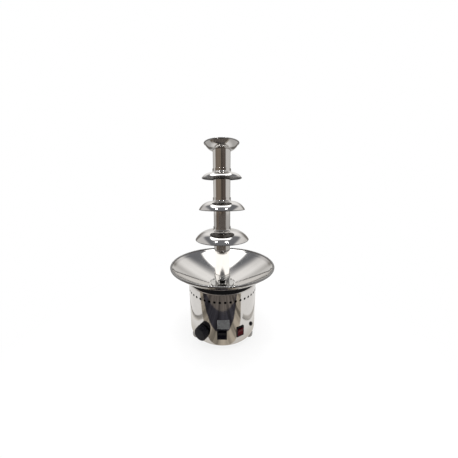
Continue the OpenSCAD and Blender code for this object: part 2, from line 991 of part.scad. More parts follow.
module knob() {
    r = knob_d / 2;
    edge = 3;
    bore = dial_shaft_r + run / 2;
    recess = bushing_r + 5;
    face = knob_u + knob_h;
    outline = concat(
        [[bore, knob_u + knob_recess], [recess, knob_u + knob_recess], [recess, knob_u], [r, knob_u]],
        arc([r - edge - 1, face - edge], edge, 0, 90, 6),
        [[0, face], [0, face - knob_web], [bore, face - knob_web]]
    );
    flute = 3.2;
    mark = [1.6, 7, 0.8];
    color([0.06, 0.06, 0.06])
        on_wall(knob_angle, knob_z)
            difference() {
                turned(outline);
                for (i = [0:flute_count - 1])
                    rotate([0, 0, (i + 0.5) * 360 / flute_count])
                        translate([r + flute / 2, 0, 0])
                            cylinder(r = flute, h = 2 * knob_h, $fn = 32);
                translate([-mark[0] / 2, r - edge - mark[1], face - mark[2]])
                    cube([mark[0], mark[1], mark[2] + eps]);
            }
}

// width of the well that a rocker moves in
function well_w(w) = w - 2 * frame_edge - 2 * frame_wall;

module switch_frame(angle, w) {
    well = well_w(w);
    on_wall(angle, control_z)
        difference() {
            union() {
                difference() {
                    block(w, switch_h, -flange_sink, switch_rim);
                    wall_body();
                }
                block(w - 2 * frame_edge, frame_h, -frame_depth, switch_rim - eps);
            }
            block(well, well_h, -well_depth, switch_rim + eps);
            translate([-w / 2, 0, pivot_u])
                rotate([0, 90, 0])
                    cylinder(r = pivot_d / 2 + run, h = w, $fn = 32);
        }
}

// the paddle stands with its lower half pressed in
module rocker(angle, w) {
    rocker_w = well_w(w) - 2 * rocker_side_gap;
    pivot_w = well_w(w) + 2 * pivot_l;
    tip = rocker_h / 2;
    hollow = switch_rim - 0.4;
    proud = hollow + tip * tan(rocker_throw / 2);
    back = pivot_u - 2;
    side = [
        [-tip + 2.5, back],
        [tip - 2.5, back],
        [tip, proud],
        [0, hollow],
        [-tip, proud]
    ];
    on_wall(angle, control_z)
        translate([0, 0, pivot_u])
            rotate([rocker_throw / 2, 0, 0]) {
                translate([-rocker_w / 2, 0, -pivot_u])
                    rotate([90, 0, 90])
                        linear_extrude(rocker_w)
                            polygon(side);
                translate([-pivot_w / 2, 0, 0])
                    rotate([0, 90, 0])
                        cylinder(d = pivot_d, h = pivot_w, $fn = 32);
            }
}

module switch_terminals(angle) {
    on_wall(angle, control_z)
        for (y = [-1, 0, 1] * blade_pitch)
            translate([0, y, 0])
                block(blade_w, blade_t, -frame_depth - blade_l, -frame_depth);
}

module motor_switch_frame() {
    color([0.07, 0.07, 0.07])
        switch_frame(motor_switch_angle, motor_switch_w);
}

module motor_switch_rocker() {
    color([0.05, 0.05, 0.05])
        rocker(motor_switch_angle, motor_switch_w);
}

module motor_switch_terminals() {
    color("goldenrod")
        switch_terminals(motor_switch_angle);
}

module heat_switch_frame() {
    color([0.07, 0.07, 0.07])
        switch_frame(heat_switch_angle, heat_switch_w);
}

module heat_switch_rocker() {
    color([0.55, 0.05, 0.08])
        rocker(heat_switch_angle, heat_switch_w);
}

module heat_switch_terminals() {
    color("goldenrod")
        switch_terminals(heat_switch_angle);
}

module fuse_holder() {
    color([0.06, 0.06, 0.06])
        on_wall(fuse_angle, control_z)
            difference() {
                union() {
                    translate([0, 0, -fuse_depth])
                        cylinder(r = fuse_r, h = fuse_depth + fuse_flange / 2, $fn = 48);
                    difference() {
                        translate([0, 0, -fuse_flange])
                            cylinder(r = fuse_flange_r, h = 2 * fuse_flange, $fn = 48);
                        wall_body();
                    }
                }
                translate([0, 0, -fuse_depth + fuse_floor])
                    cylinder(r = fuse_bore_r, h = fuse_depth + fuse_flange, $fn = 48);
            }
}

module fuse_nut() {
    color([0.1, 0.1, 0.1])
        on_wall(fuse_angle, control_z)
            translate([0, 0, -shell_t - fuse_nut_h - 1])
                difference() {
                    hex(2.6 * fuse_r, fuse_nut_h);
                    translate([0, 0, -eps])
                        cylinder(r = fuse_r + run, h = fuse_nut_h + 2 * eps, $fn = 48);
                }
}

module fuse_cap() {
    top = fuse_flange + seat + fuse_cap_h;
    chamfer = 0.8;
    slot_w = 1.4;
    color([0.05, 0.05, 0.05])
        on_wall(fuse_angle, control_z)
            difference() {
                union() {
                    translate([0, 0, fuse_flange + seat])
                        cylinder(d = fuse_cap_d, h = fuse_cap_h, $fn = 48);
                    translate([0, 0, top])
                        cylinder(d1 = fuse_cap_d, d2 = fuse_cap_d - 2 * chamfer, h = chamfer, $fn = 48);
                    translate([0, 0, -fuse_plug])
                        cylinder(r = fuse_bore_r - run, h = fuse_plug + fuse_flange + eps, $fn = 48);
                }
                translate([-fuse_cap_d, -slot_w / 2, top])
                    cube([2 * fuse_cap_d, slot_w, 2 * chamfer]);
                translate([0, 0, -fuse_plug - eps])
                    cylinder(r = fuse_link_r + seat, h = fuse_grip + eps, $fn = 32);
            }
}

module fuse_link() {
    color("lightblue")
        on_wall(fuse_angle, control_z)
            translate([0, 0, fuse_grip - fuse_plug - seat - fuse_link_l])
                cylinder(r = fuse_link_r, h = fuse_link_l, $fn = 32);
}

module cord_gland() {
    nose = gland_out - gland_hex_h + seat;
    color([0.07, 0.07, 0.07])
        on_wall(180, gland_z)
            difference() {
                union() {
                    translate([0, 0, -10])
                        cylinder(r = gland_r, h = 11, $fn = 48);
                    difference() {
                        translate([0, 0, -gland_hex_h])
                            hex(gland_hex, 2 * gland_hex_h);
                        wall_body();
                    }
                    translate([0, 0, gland_hex_h - seat])
                        cylinder(r1 = gland_r + 0.5, r2 = gland_r - 1.5, h = nose, $fn = 48);
                }
                translate([0, 0, gland_out - gland_bore_l])
                    cylinder(r = gland_bore_r, h = gland_bore_l + eps, $fn = 48);
            }
}

module gland_nut() {
    color([0.1, 0.1, 0.1])
        on_wall(180, gland_z)
            translate([0, 0, -shell_t - 6])
                difference() {
                    hex(gland_hex, 5);
                    translate([0, 0, -eps])
                        cylinder(r = gland_r + run, h = 5 + 2 * eps, $fn = 48);
                }
}

module terminal_block() {
    poles = 4;
    pole_w = 11;
    depth = 20;
    height = 17;
    well = 8;
    color("ivory")
        translate([-poles * pole_w / 2, 46, base_z])
            difference() {
                cube([poles * pole_w, depth, height]);
                for (i = [0:poles - 1])
                    translate([(i + 0.5) * pole_w, depth / 2, height - well])
                        cylinder(r = 3, h = well + eps, $fn = 32);
            }
}

crown();
tier_upper();
tier_middle();
tier_lower();
tower_tube();
tower_ring();
auger_rod();
auger_flight();
drive_shaft();
drive_pin();
shaft_seal();
shaft_bush();
bush_nut();
bowl();
locating_pegs();
insulating_ring();
bowl_studs();
bowl_nuts();
heating_element();
heater_clamps();
thermal_cutout();
thermostat_bulb();
motor_plate();
motor_pillars();
plate_screws();
gearbox();
gearbox_screws();
motor();
base_shell();
bottom_cover();
cover_screws();
foot_nuts();
foot_left();
foot_right();
foot_rear();
foot_pad_left();
foot_pad_right();
foot_pad_rear();
thermostat_body();
thermostat_nut();
thermostat_shaft();
knob();
motor_switch_frame();
motor_switch_rocker();
motor_switch_terminals();
heat_switch_frame();
heat_switch_rocker();
heat_switch_terminals();
fuse_holder();
fuse_nut();
fuse_cap();
fuse_link();
cord_gland();
gland_nut();
terminal_block();
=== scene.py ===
"""Chocolate fountain: finishes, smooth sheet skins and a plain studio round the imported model."""
import json
import math

import bpy
from mathutils import Matrix, Vector


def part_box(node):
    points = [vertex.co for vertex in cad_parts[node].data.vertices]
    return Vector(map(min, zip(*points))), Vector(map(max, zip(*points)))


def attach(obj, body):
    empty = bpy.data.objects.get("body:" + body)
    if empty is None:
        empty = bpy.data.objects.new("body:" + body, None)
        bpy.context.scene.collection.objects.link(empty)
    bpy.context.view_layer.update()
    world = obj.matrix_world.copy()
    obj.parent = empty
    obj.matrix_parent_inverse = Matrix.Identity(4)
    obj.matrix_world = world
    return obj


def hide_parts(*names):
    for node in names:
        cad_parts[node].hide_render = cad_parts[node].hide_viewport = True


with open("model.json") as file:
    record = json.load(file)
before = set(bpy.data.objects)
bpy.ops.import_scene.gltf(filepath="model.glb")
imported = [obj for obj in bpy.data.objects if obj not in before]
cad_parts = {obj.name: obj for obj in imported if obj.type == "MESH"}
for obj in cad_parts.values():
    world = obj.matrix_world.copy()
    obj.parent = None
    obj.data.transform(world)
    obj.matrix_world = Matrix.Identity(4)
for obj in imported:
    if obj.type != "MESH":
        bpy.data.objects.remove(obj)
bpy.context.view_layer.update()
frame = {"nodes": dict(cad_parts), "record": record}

MM = 0.001
NODES = frame["nodes"]
RECORD = frame["record"]
SLOT_OF = {part["node"]: part["material_slot"] for part in RECORD["subparts"]}
MEMBERS = RECORD["behaviour"]["bodies"]
BODY_OF = {node: body for body, nodes in MEMBERS.items() for node in nodes}
SCENE = bpy.context.scene

# Photograph and camera

FRAME_PX = 458
FOCAL_PX = 172.414
CENTRE_PX = (222.13, 239.64)
SENSOR = 36.0
CLIP_START = 0.01
CAMERA_AT = Vector((0, -0.5374, 0.4529))
CAMERA_DIP = math.radians(13.914)
CAMERA_ROLL = math.radians(-0.34)


def make_camera():
    """The photograph's viewpoint; the shift puts the optical axis where the photograph has it."""
    data = bpy.data.cameras.new("camera")
    data.sensor_width = SENSOR
    data.lens = SENSOR * FOCAL_PX / FRAME_PX
    data.shift_x = 0.5 - CENTRE_PX[0] / FRAME_PX
    data.shift_y = CENTRE_PX[1] / FRAME_PX - 0.5
    data.clip_start = CLIP_START
    camera = bpy.data.objects.new("camera", data)
    tilt = Matrix.Rotation(math.pi / 2 - CAMERA_DIP, 4, "X")
    roll = Matrix.Rotation(CAMERA_ROLL, 4, "Z")
    camera.matrix_world = Matrix.Translation(CAMERA_AT) @ tilt @ roll
    SCENE.collection.objects.link(camera)
    SCENE.camera = camera


# Node trees

# Places of the Mix node's colour sockets, whose names it also gives to sockets of other types
MIX_FACTOR, MIX_A, MIX_B, MIX_RESULT = 0, 6, 7, 2


def shade(colour, factor):
    return tuple(c * factor for c in colour)


def opaque(colour):
    """A colour with its alpha; a socket stays as it is."""
    return colour if isinstance(colour, bpy.types.NodeSocket) else (*colour, 1)


class Tree:
    """Shorthand for the nodes of a material or of the world."""

    def __init__(self, owner):
        owner.use_nodes = True
        self.nodes = owner.node_tree.nodes
        self.links = owner.node_tree.links
        self.nodes.clear()

    def add(self, kind, inputs=None, **settings):
        node = self.nodes.new(kind)
        for key, value in settings.items():
            setattr(node, key, value)
        for key, value in (inputs or {}).items():
            if isinstance(value, bpy.types.NodeSocket):
                self.links.new(value, node.inputs[key])
            else:
                node.inputs[key].default_value = value
        return node

    def math(self, operation, *values):
        return self.add("ShaderNodeMath", dict(enumerate(values)), operation=operation).outputs[0]

    def ranged(self, value, low, high, to_low=0.0, to_high=1.0):
        """The value carried smoothly from one range to another."""
        sockets = {"Value": value, "From Min": low, "From Max": high}
        sockets |= {"To Min": to_low, "To Max": to_high}
        node = self.add("ShaderNodeMapRange", sockets, interpolation_type="SMOOTHSTEP")
        return node.outputs["Result"]

    def noise(self, vector, scale, detail=3.0, rough=0.5):
        sockets = {"Vector": vector, "Scale": scale, "Detail": detail, "Roughness": rough}
        return self.add("ShaderNodeTexNoise", sockets).outputs["Fac"]

    def ramp(self, factor, stops):
        """Colours at places from 0 to 1; a new stop starts anywhere and is then put in its place."""
        node = self.add("ShaderNodeValToRGB", {"Fac": factor})
        elements = node.color_ramp.elements
        while len(elements) < len(stops):
            elements.new(0.5)
        for element, (place, colour) in zip(elements, stops):
            element.position = place
            element.color = opaque(colour)
        return node.outputs["Color"]

    def toned(self, factor, colour, stops):
        """One colour at several levels."""
        return self.ramp(factor, [(place, shade(colour, level)) for place, level in stops])

    def mixed(self, factor, a, b):
        sockets = {MIX_FACTOR: factor, MIX_A: opaque(a), MIX_B: opaque(b)}
        return self.add("ShaderNodeMix", sockets, data_type="RGBA").outputs[MIX_RESULT]

    def bump(self, height, depth, normal=None):
        sockets = {"Height": height, "Distance": depth, "Strength": 1.0}
        if normal is not None:
            sockets["Normal"] = normal
        return self.add("ShaderNodeBump", sockets).outputs["Normal"]

    def place(self):
        return self.add("ShaderNodeTexCoord").outputs["Object"]

    def scaled_place(self, scale):
        return self.add("ShaderNodeMapping", {"Vector": self.place(), "Scale": scale}).outputs[0]

    def split(self, vector):
        return self.add("ShaderNodeSeparateXYZ", {"Vector": vector}).outputs

    def length(self, vector):
        return self.add("ShaderNodeVectorMath", {0: vector}, operation="LENGTH").outputs["Value"]

    def radius(self):
        """Distance from the tower's axis."""
        parts = self.split(self.place())
        flat = self.add("ShaderNodeCombineXYZ", {"X": parts["X"], "Y": parts["Y"]}).outputs[0]
        return self.length(flat)

    def turned_place(self):
        """Radius and height as a vector, so that a texture runs in rings about the tower's axis."""
        height = self.split(self.place())["Z"]
        return self.add("ShaderNodeCombineXYZ", {"X": self.radius(), "Z": height}).outputs[0]

    def azimuth(self, vector):
        """Part of a full turn, 0.5 to the front and growing to the right."""
        parts = self.split(vector)
        angle = self.math("ARCTAN2", parts["X"], self.math("MULTIPLY", parts["Y"], -1.0))
        sockets = {"Value": angle, "From Min": -math.pi, "From Max": math.pi}
        return self.add("ShaderNodeMapRange", sockets).outputs["Result"]

    def glow(self, colour, strength=1.0):
        sockets = {"Color": opaque(colour), "Strength": strength}
        return self.add("ShaderNodeEmission", sockets).outputs[0]

    def backdrop(self, colour, strength=1.0):
        sockets = {"Color": opaque(colour), "Strength": strength}
        return self.add("ShaderNodeBackground", sockets).outputs[0]

    def either(self, factor, a, b):
        """The first shader where the factor is 0 and the second where it is 1."""
        return self.add("ShaderNodeMixShader", {0: factor, 1: a, 2: b}).outputs[0]

    def light_path(self):
        """Whether a ray is glossy, and whether it comes from the camera or through glass."""
        path = self.add("ShaderNodeLightPath").outputs
        clear = self.math("MAXIMUM", path["Is Camera Ray"], path["Is Transmission Ray"])
        return path["Is Glossy Ray"], clear


def new_material(name):
    material = bpy.data.materials.new(name)
    return material, Tree(material)


def close_material(material, tree, shader):
    tree.add("ShaderNodeOutputMaterial", {"Surface": shader})
    return material


def finish_material(material, tree, sockets):
    surface = tree.add("ShaderNodeBsdfPrincipled", sockets)
    return close_material(material, tree, surface.outputs[0])


# Finishes: scales are per metre and depths in metres

GLOSS_SPAN = (0.3, 0.75)
CLOUD_SCALE = 22.0
CLOUD_TONES = [(0.3, 0.95), (0.7, 1.0)]
LINE_GLOSS = 0.5
WAVE_SCALE = 7.0
# Painted shade inside a housing: a near-black tone and a dull gloss
INSIDE_SHADE_TONE = (0.02, 0.02, 0.02)
INSIDE_SHADE_ROUGH = 0.7


def inside_share(tree, radius, low, high):
    """One inside a radius and between two heights, and nought elsewhere."""
    height = tree.split(tree.place())["Z"]
    between = tree.math("MULTIPLY", tree.math("GREATER_THAN", height, low),
                        tree.math("LESS_THAN", height, high))
    return tree.math("MULTIPLY", between, tree.math("LESS_THAN", tree.radius(), radius))


def metal(name, colour, rough, spread, line_scale, line_depth, wave_depth=0.0, painted_shade=None):
    """Bare metal with turned or rolled lines, cloudy wear in its gloss and a slow wave in the sheet.

    A last argument gives the radius inside which, between two heights, the sheet is painted near black
    and dull, as painted shade inside a housing.
    """
    material, tree = new_material(name)
    lines = tree.noise(tree.turned_place(), line_scale, detail=4.0, rough=0.65)
    clouds = tree.noise(tree.place(), CLOUD_SCALE, detail=5.0, rough=0.6)
    tint = tree.toned(clouds, colour, CLOUD_TONES)
    gloss = tree.math("ADD", tree.ranged(clouds, *GLOSS_SPAN, rough, rough + spread),
                      tree.math("MULTIPLY", lines, spread * LINE_GLOSS))
    normal = tree.bump(lines, line_depth)
    if wave_depth:
        normal = tree.bump(tree.noise(tree.place(), WAVE_SCALE, detail=1.0), wave_depth, normal)
    # Painted shade: the sheet near black and dull inside the housing
    if painted_shade:
        inner = inside_share(tree, *painted_shade)
        tint = tree.mixed(inner, tint, INSIDE_SHADE_TONE)
        gloss = tree.math("MAXIMUM", gloss, tree.math("MULTIPLY", inner, INSIDE_SHADE_ROUGH))
    return finish_material(material, tree, {
        "Base Color": tint, "Metallic": 1.0, "Roughness": gloss, "Normal": normal})


EDGE_R = 0.5 * MM
EDGE_SAMPLES = 4
RUB_SCALE = 60.0
RUB_TONES = [(0.35, 0.85), (0.75, 1.25)]
RUB_GLOSS = (0.85, 1.2)


def moulding(name, colour, rough, grain_scale, grain_depth, shine):
    """Moulded plastic or rubber: eased edges, a fine grain, uneven gloss and paler rubbed patches."""
    material, tree = new_material(name)
    eased = tree.add("ShaderNodeBevel", {"Radius": EDGE_R}, samples=EDGE_SAMPLES).outputs["Normal"]
    grain = tree.noise(tree.place(), grain_scale, detail=2.0)
    rub = tree.noise(tree.place(), RUB_SCALE, detail=5.0, rough=0.65)
    low, high = (rough * share for share in RUB_GLOSS)
    return finish_material(material, tree, {
        "Base Color": tree.toned(rub, colour, RUB_TONES), "Specular IOR Level": shine,
        "Roughness": tree.ranged(rub, *GLOSS_SPAN, low, high),
        "Normal": tree.bump(grain, grain_depth, eased)})


DUST_SCALE = 300.0
DUST_SPAN = (0.3, 0.8)
DUST_ROUGH = (0.02, 0.12)


def glass(name, colour):
    """Clear glass with a little dust."""
    material, tree = new_material(name)
    dust = tree.ranged(tree.noise(tree.place(), DUST_SCALE), *DUST_SPAN, *DUST_ROUGH)
    return finish_material(material, tree, {
        "Base Color": opaque(colour), "Roughness": dust, "Transmission Weight": 1.0, "IOR": 1.5})


BRUSH_STRETCH = (60.0, 60.0, 3000.0)
BRUSH_DEPTH = 4e-6
BRUSH_SPAN = (0.3, 0.7)
BRUSH_ROUGH = (0.4, 0.6)
WEAR_SCALE = 180.0
WEAR_TONES = [(0.35, 0.8), (0.7, 1.3)]


def plate_metal(name, colour):
    """Grey sheet with level brushing and a little handling wear."""
    material, tree = new_material(name)
    brushing = tree.noise(tree.scaled_place(BRUSH_STRETCH), 1.0)
    wear = tree.noise(tree.place(), WEAR_SCALE, detail=5.0, rough=0.65)
    return finish_material(material, tree, {
        "Base Color": tree.toned(wear, colour, WEAR_TONES), "Metallic": 0.3, "Specular IOR Level": 0.3,
        "Roughness": tree.ranged(brushing, *BRUSH_SPAN, *BRUSH_ROUGH),
        "Normal": tree.bump(brushing, BRUSH_DEPTH)})


SHELL_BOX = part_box("base_shell")
SHELL_R = SHELL_BOX[1].x
# Painted shade on the inside of the base shell, just within its outer face and between these heights
INSIDE_SHADE_DEPTH = 0.2 * MM
INSIDE_SHADE_FOOT = 12 * MM
INSIDE_SHADE_HEAD = 5 * MM
INSIDE_SHADE = (SHELL_R - INSIDE_SHADE_DEPTH, SHELL_BOX[0].z + INSIDE_SHADE_FOOT, SHELL_BOX[1].z - INSIDE_SHADE_HEAD)
STEEL = (0.69, 0.672, 0.65)
SHEET_WAVE = 2e-4
POLISH = (STEEL, 0.045, 0.05, 1400.0, 2e-6, SHEET_WAVE)
# Colour, roughness and its spread, scale and depth of the lines, then any wave and painted shade
# inside
METALS = {
    "polished_steel": POLISH,
    # Base shell steel, painted near black inside as painted shade
    "inside_shaded_steel": (*POLISH, INSIDE_SHADE),
    "satin_steel": ((0.62, 0.61, 0.59), 0.16, 0.10, 1600.0, 8e-6),
    "plain_steel": ((0.45, 0.45, 0.44), 0.30, 0.15, 900.0, 1e-5),
    # Tier undersides: darker and rougher, partly their unpolished finish and partly painted shade
    # under the domes
    "dull_shaded_steel": ((0.28, 0.275, 0.27), 0.34, 0.12, 900.0, 1e-5),
    # Rolled rims: a satin gloss, and a colour far darker than steel that paints in dark reflections
    "rim_steel_painted_reflection": ((0.30, 0.295, 0.29), 0.16, 0.10, 900.0, 4e-6),
    # Feet: chrome gloss with a colour darkened as painted shade under the base
    "foot_steel_painted_shade": ((0.38, 0.38, 0.38), 0.06, 0.08, 700.0, 4e-6),
    "heater_steel": ((0.16, 0.15, 0.14), 0.40, 0.20, 500.0, 1e-5),
    "chrome": ((0.72, 0.72, 0.72), 0.05, 0.05, 700.0, 2e-6),
    "brass": ((0.68, 0.49, 0.22), 0.22, 0.12, 1200.0, 6e-6),
    "gearbox_alloy": ((0.55, 0.56, 0.58), 0.42, 0.15, 300.0, 3e-5),
}
# Colour, roughness, scale and depth of the grain, specular level
MOULDINGS = {
    "black_rubber": ((0.006, 0.006, 0.007), 0.6, 900.0, 2e-5, 0.12),
    "black_plastic": ((0.006, 0.006, 0.009), 0.45, 1600.0, 2e-5, 0.18),
    "black_rocker": ((0.002, 0.002, 0.004), 0.28, 900.0, 5e-6, 0.03),
    "red_rocker": ((0.052, 0.004, 0.006), 0.28, 900.0, 5e-6, 0.04),
    "pale_plastic": ((0.70, 0.66, 0.55), 0.45, 800.0, 2e-5, 0.4),
    "motor_paint": ((0.14, 0.14, 0.15), 0.42, 500.0, 3e-5, 0.4),
}
FINISHES = {
    **{name: metal(name, *values) for name, values in METALS.items()},
    **{name: moulding(name, *values) for name, values in MOULDINGS.items()},
    "fuse_glass": glass("fuse_glass", (0.85, 0.92, 0.92)),
    "plate_metal": plate_metal("plate_metal", (0.150, 0.153, 0.155)),
}
OWN_FINISH = {
    # The base shell's steel carries painted shade on its inside
    "base_shell": "inside_shaded_steel",
    # Feet: steel darkened as painted shade
    "foot_left": "foot_steel_painted_shade",
    "foot_right": "foot_steel_painted_shade",
    "foot_rear": "foot_steel_painted_shade",
}


def finish_of(node):
    """A node's own finish, or that of its material slot."""
    return FINISHES[OWN_FINISH.get(node, SLOT_OF[node])]


def dress_nodes():
    for name, node in NODES.items():
        for slot in node.material_slots:
            slot.material = finish_of(name)


# Runs: lists of points with normals in the (radius, height) plane

BOW_STEPS = 32
BEND_STEPS = 12


def right_of(direction):
    return Vector((direction.y, -direction.x)).normalized()


def angle_of(vector):
    return math.degrees(math.atan2(vector.y, vector.x))


def line(a, b):
    """Run from a to b; the outside lies to the right."""
    a, b = Vector(a), Vector(b)
    normal = right_of(b - a)
    return [(a, normal), (b, normal)]


def arc(centre, radius, start, stop, steps, facing=1):
    """Run along a circle in degrees; facing -1 turns the normal to the centre."""
    run = []
    for i in range(steps + 1):
        angle = math.radians(start + (stop - start) * i / steps)
        ray = Vector((math.cos(angle), math.sin(angle)))
        run.append((Vector(centre) + radius * ray, facing * ray))
    return run


def bowed(a, b, sweep_deg):
    """Run along part of an ellipse from a, which it leaves level, to b."""
    a, b = Vector(a), Vector(b)
    full = math.radians(sweep_deg)
    wide, tall = (b.x - a.x) / math.sin(full), (b.y - a.y) / (1 - math.cos(full))
    run = []
    for i in range(BOW_STEPS + 1):
        t = full * i / BOW_STEPS
        point = a + Vector((wide * math.sin(t), tall * (1 - math.cos(t))))
        run.append((point, right_of(Vector((wide * math.cos(t), tall * math.sin(t))))))
    return run


def bent(a, corner, b):
    """Run that eases a corner, from a to b."""
    a, corner, b = Vector(a), Vector(corner), Vector(b)
    run = []
    for i in range(BEND_STEPS + 1):
        t = i / BEND_STEPS
        point = (1 - t) ** 2 * a + 2 * t * (1 - t) * corner + t**2 * b
        run.append((point, right_of((1 - t) * (corner - a) + t * (b - corner))))
    return run


def sagging_arc(a, b, radius, steps):
    """Run from a to b along an arc that bulges to the right of the chord."""
    a, b = Vector(a), Vector(b)
    half = (b - a).length / 2
    along = (b - a).normalized()
    centre = (a + b) / 2 + math.sqrt(radius**2 - half**2) * Vector((-along.y, along.x))
    return arc(centre, radius, angle_of(a - centre), angle_of(b - centre), steps)


def moved(run, distance):
    """The run moved along its normals."""
    return [(point + distance * normal, normal) for point, normal in run]


def flipped(run):
    """The same run walked backwards, with its normals turned over."""
    return [(point, -normal) for point, normal in reversed(run)]


def outside_of(run, centre, radius):
    """The run without the points that lie in a circle."""
    return [(point, normal) for point, normal in run if (point - Vector(centre)).length > radius]


# Sweeps: runs carried round the tower's axis

TURNS = 192
FULL_TURN = 360.0
MERGE_DIGITS = 7


def key_of(point):
    """The same for points of two runs that meet, so that they share their vertices."""
    return (round(point.x, MERGE_DIGITS), round(point.y, MERGE_DIGITS))


def turned(vector, angle):
    return (vector.x * math.cos(angle), vector.x * math.sin(angle), vector.y)


def end_caps(rows, angles):
    """Flat faces, with their normals, over the two ends of a part turn."""
    faces, normals = [], []
    for column, side in ((0, -1), (len(angles) - 1, 1)):
        cap = [row + column for row in rows]
        faces.append(tuple(cap if side < 0 else reversed(cap)))
        across = (-side * math.sin(angles[column]), side * math.cos(angles[column]), 0)
        normals += [across] * len(cap)
    return faces, normals


def sweep(runs, turns=TURNS, start=0.0, stop=FULL_TURN):
    """Vertices, faces and corner normals of closed runs carried round from start to stop degrees."""
    whole = stop - start >= FULL_TURN
    columns = turns if whole else turns + 1
    angles = [math.radians(start + (stop - start) * k / turns) for k in range(columns)]
    points = {}
    for run in runs:
        for point, _ in run:
            points.setdefault(key_of(point), point)
    row_of = {key: columns * i for i, key in enumerate(points)}
    vertices = [turned(point, angle) for point in points.values() for angle in angles]
    faces, normals = [], []
    for run in runs:
        for (a, normal_a), (b, normal_b) in zip(run, run[1:]):
            row_a, row_b = row_of[key_of(a)], row_of[key_of(b)]
            if row_a == row_b:
                continue
            for k in range(turns):
                q = (k + 1) % columns
                faces.append((row_a + k, row_a + q, row_b + q, row_b + k))
                for normal, column in ((normal_a, k), (normal_a, q), (normal_b, q), (normal_b, k)):
                    normals.append(turned(normal, angles[column]))
    if not whole:
        cap_faces, cap_normals = end_caps(row_of.values(), angles)
        faces += cap_faces
        normals += cap_normals
    return vertices, faces, normals


def mesh_piece(name, vertices, faces, normals, material, body):
    """An object with given corner normals, riding on a body."""
    mesh = bpy.data.meshes.new(name)
    mesh.from_pydata(vertices, [], faces)
    mesh.polygons.foreach_set("use_smooth", [True] * len(faces))
    mesh.normals_split_custom_set(normals)
    mesh.materials.append(material)
    piece = bpy.data.objects.new(name, mesh)
    SCENE.collection.objects.link(piece)
    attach(piece, body)
    return piece


def turned_piece(name, node, sweeps):
    """One object made of the sweeps; it stands for the CAD node."""
    vertices, faces, normals = [], [], []
    for part in sweeps:
        offset = len(vertices)
        vertices += part[0]
        faces += [tuple(index + offset for index in face) for face in part[1]]
        normals += part[2]
    piece = mesh_piece(name, vertices, faces, normals, finish_of(node), BODY_OF[node])
    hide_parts(node)
    return piece


def finish_runs(piece, runs, turns, finish, places):
    """Give the faces swept from the runs at some places another finish."""
    piece.data.materials.append(FINISHES[finish])
    slot = len(piece.data.materials) - 1
    for place in places:
        start = turns * sum(len(run) - 1 for run in runs[:place])
        for polygon in piece.data.polygons[start:start + turns * (len(runs[place]) - 1)]:
            polygon.material_index = slot


# Sheet skins, at the sizes of the solids that they stand for

SLIP = 0.3 * MM
TUBE_R = 25.5 * MM
TUBE_T = 1.5 * MM
SHEET_T = 1.2 * MM
BEAD_R = 1.6 * MM
SLEEVE_T = 1.5 * MM
SLEEVE_IN = TUBE_R + SLIP
SLEEVE_OUT = SLEEVE_IN + SLEEVE_T
SLEEVE_DROP = 6 * MM
SLEEVE_LIP = 0.3 * MM
SLEEVE_TURNS = 64
LIP_STEPS = 4
TIER_PIN_D = 4 * MM
NOTCH_W = TIER_PIN_D + 2 * SLIP
NOTCH_ANGLES = (-30, 90, 210)


def sleeve_arcs(top_z, dome_z):
    """Sweeps of a tier's neck sleeve between its notches, which let the tube's pins pass."""
    foot_z = dome_z - SLEEVE_DROP
    lip_z = top_z - SLEEVE_LIP
    lip_in, lip_out = SLEEVE_IN + SLEEVE_LIP, SLEEVE_OUT - SLEEVE_LIP
    sleeve = [
        line((SLEEVE_IN, foot_z), (SLEEVE_OUT, foot_z)),
        line((SLEEVE_OUT, foot_z), (SLEEVE_OUT, lip_z)),
        arc((lip_out, lip_z), SLEEVE_LIP, 0, 90, LIP_STEPS),
        line((lip_out, top_z), (lip_in, top_z)),
        arc((lip_in, lip_z), SLEEVE_LIP, 90, 180, LIP_STEPS),
        line((SLEEVE_IN, lip_z), (SLEEVE_IN, foot_z)),
    ]
    half_notch = math.degrees(math.asin(NOTCH_W / 2 / SLEEVE_OUT))
    apart = FULL_TURN / len(NOTCH_ANGLES)
    return [sweep(sleeve, SLEEVE_TURNS, a + half_notch, a + apart - half_notch) for a in NOTCH_ANGLES]


NECK_R = 4 * MM
NECK_H = 11 * MM
NECK_STEPS = 12
DOME_SWEEP = 62
DOME_BEAD_STEPS = 24
# Places of runs in the outline
DOME_UNDERSIDE = (0, 1)
DOME_RIM = (2,)


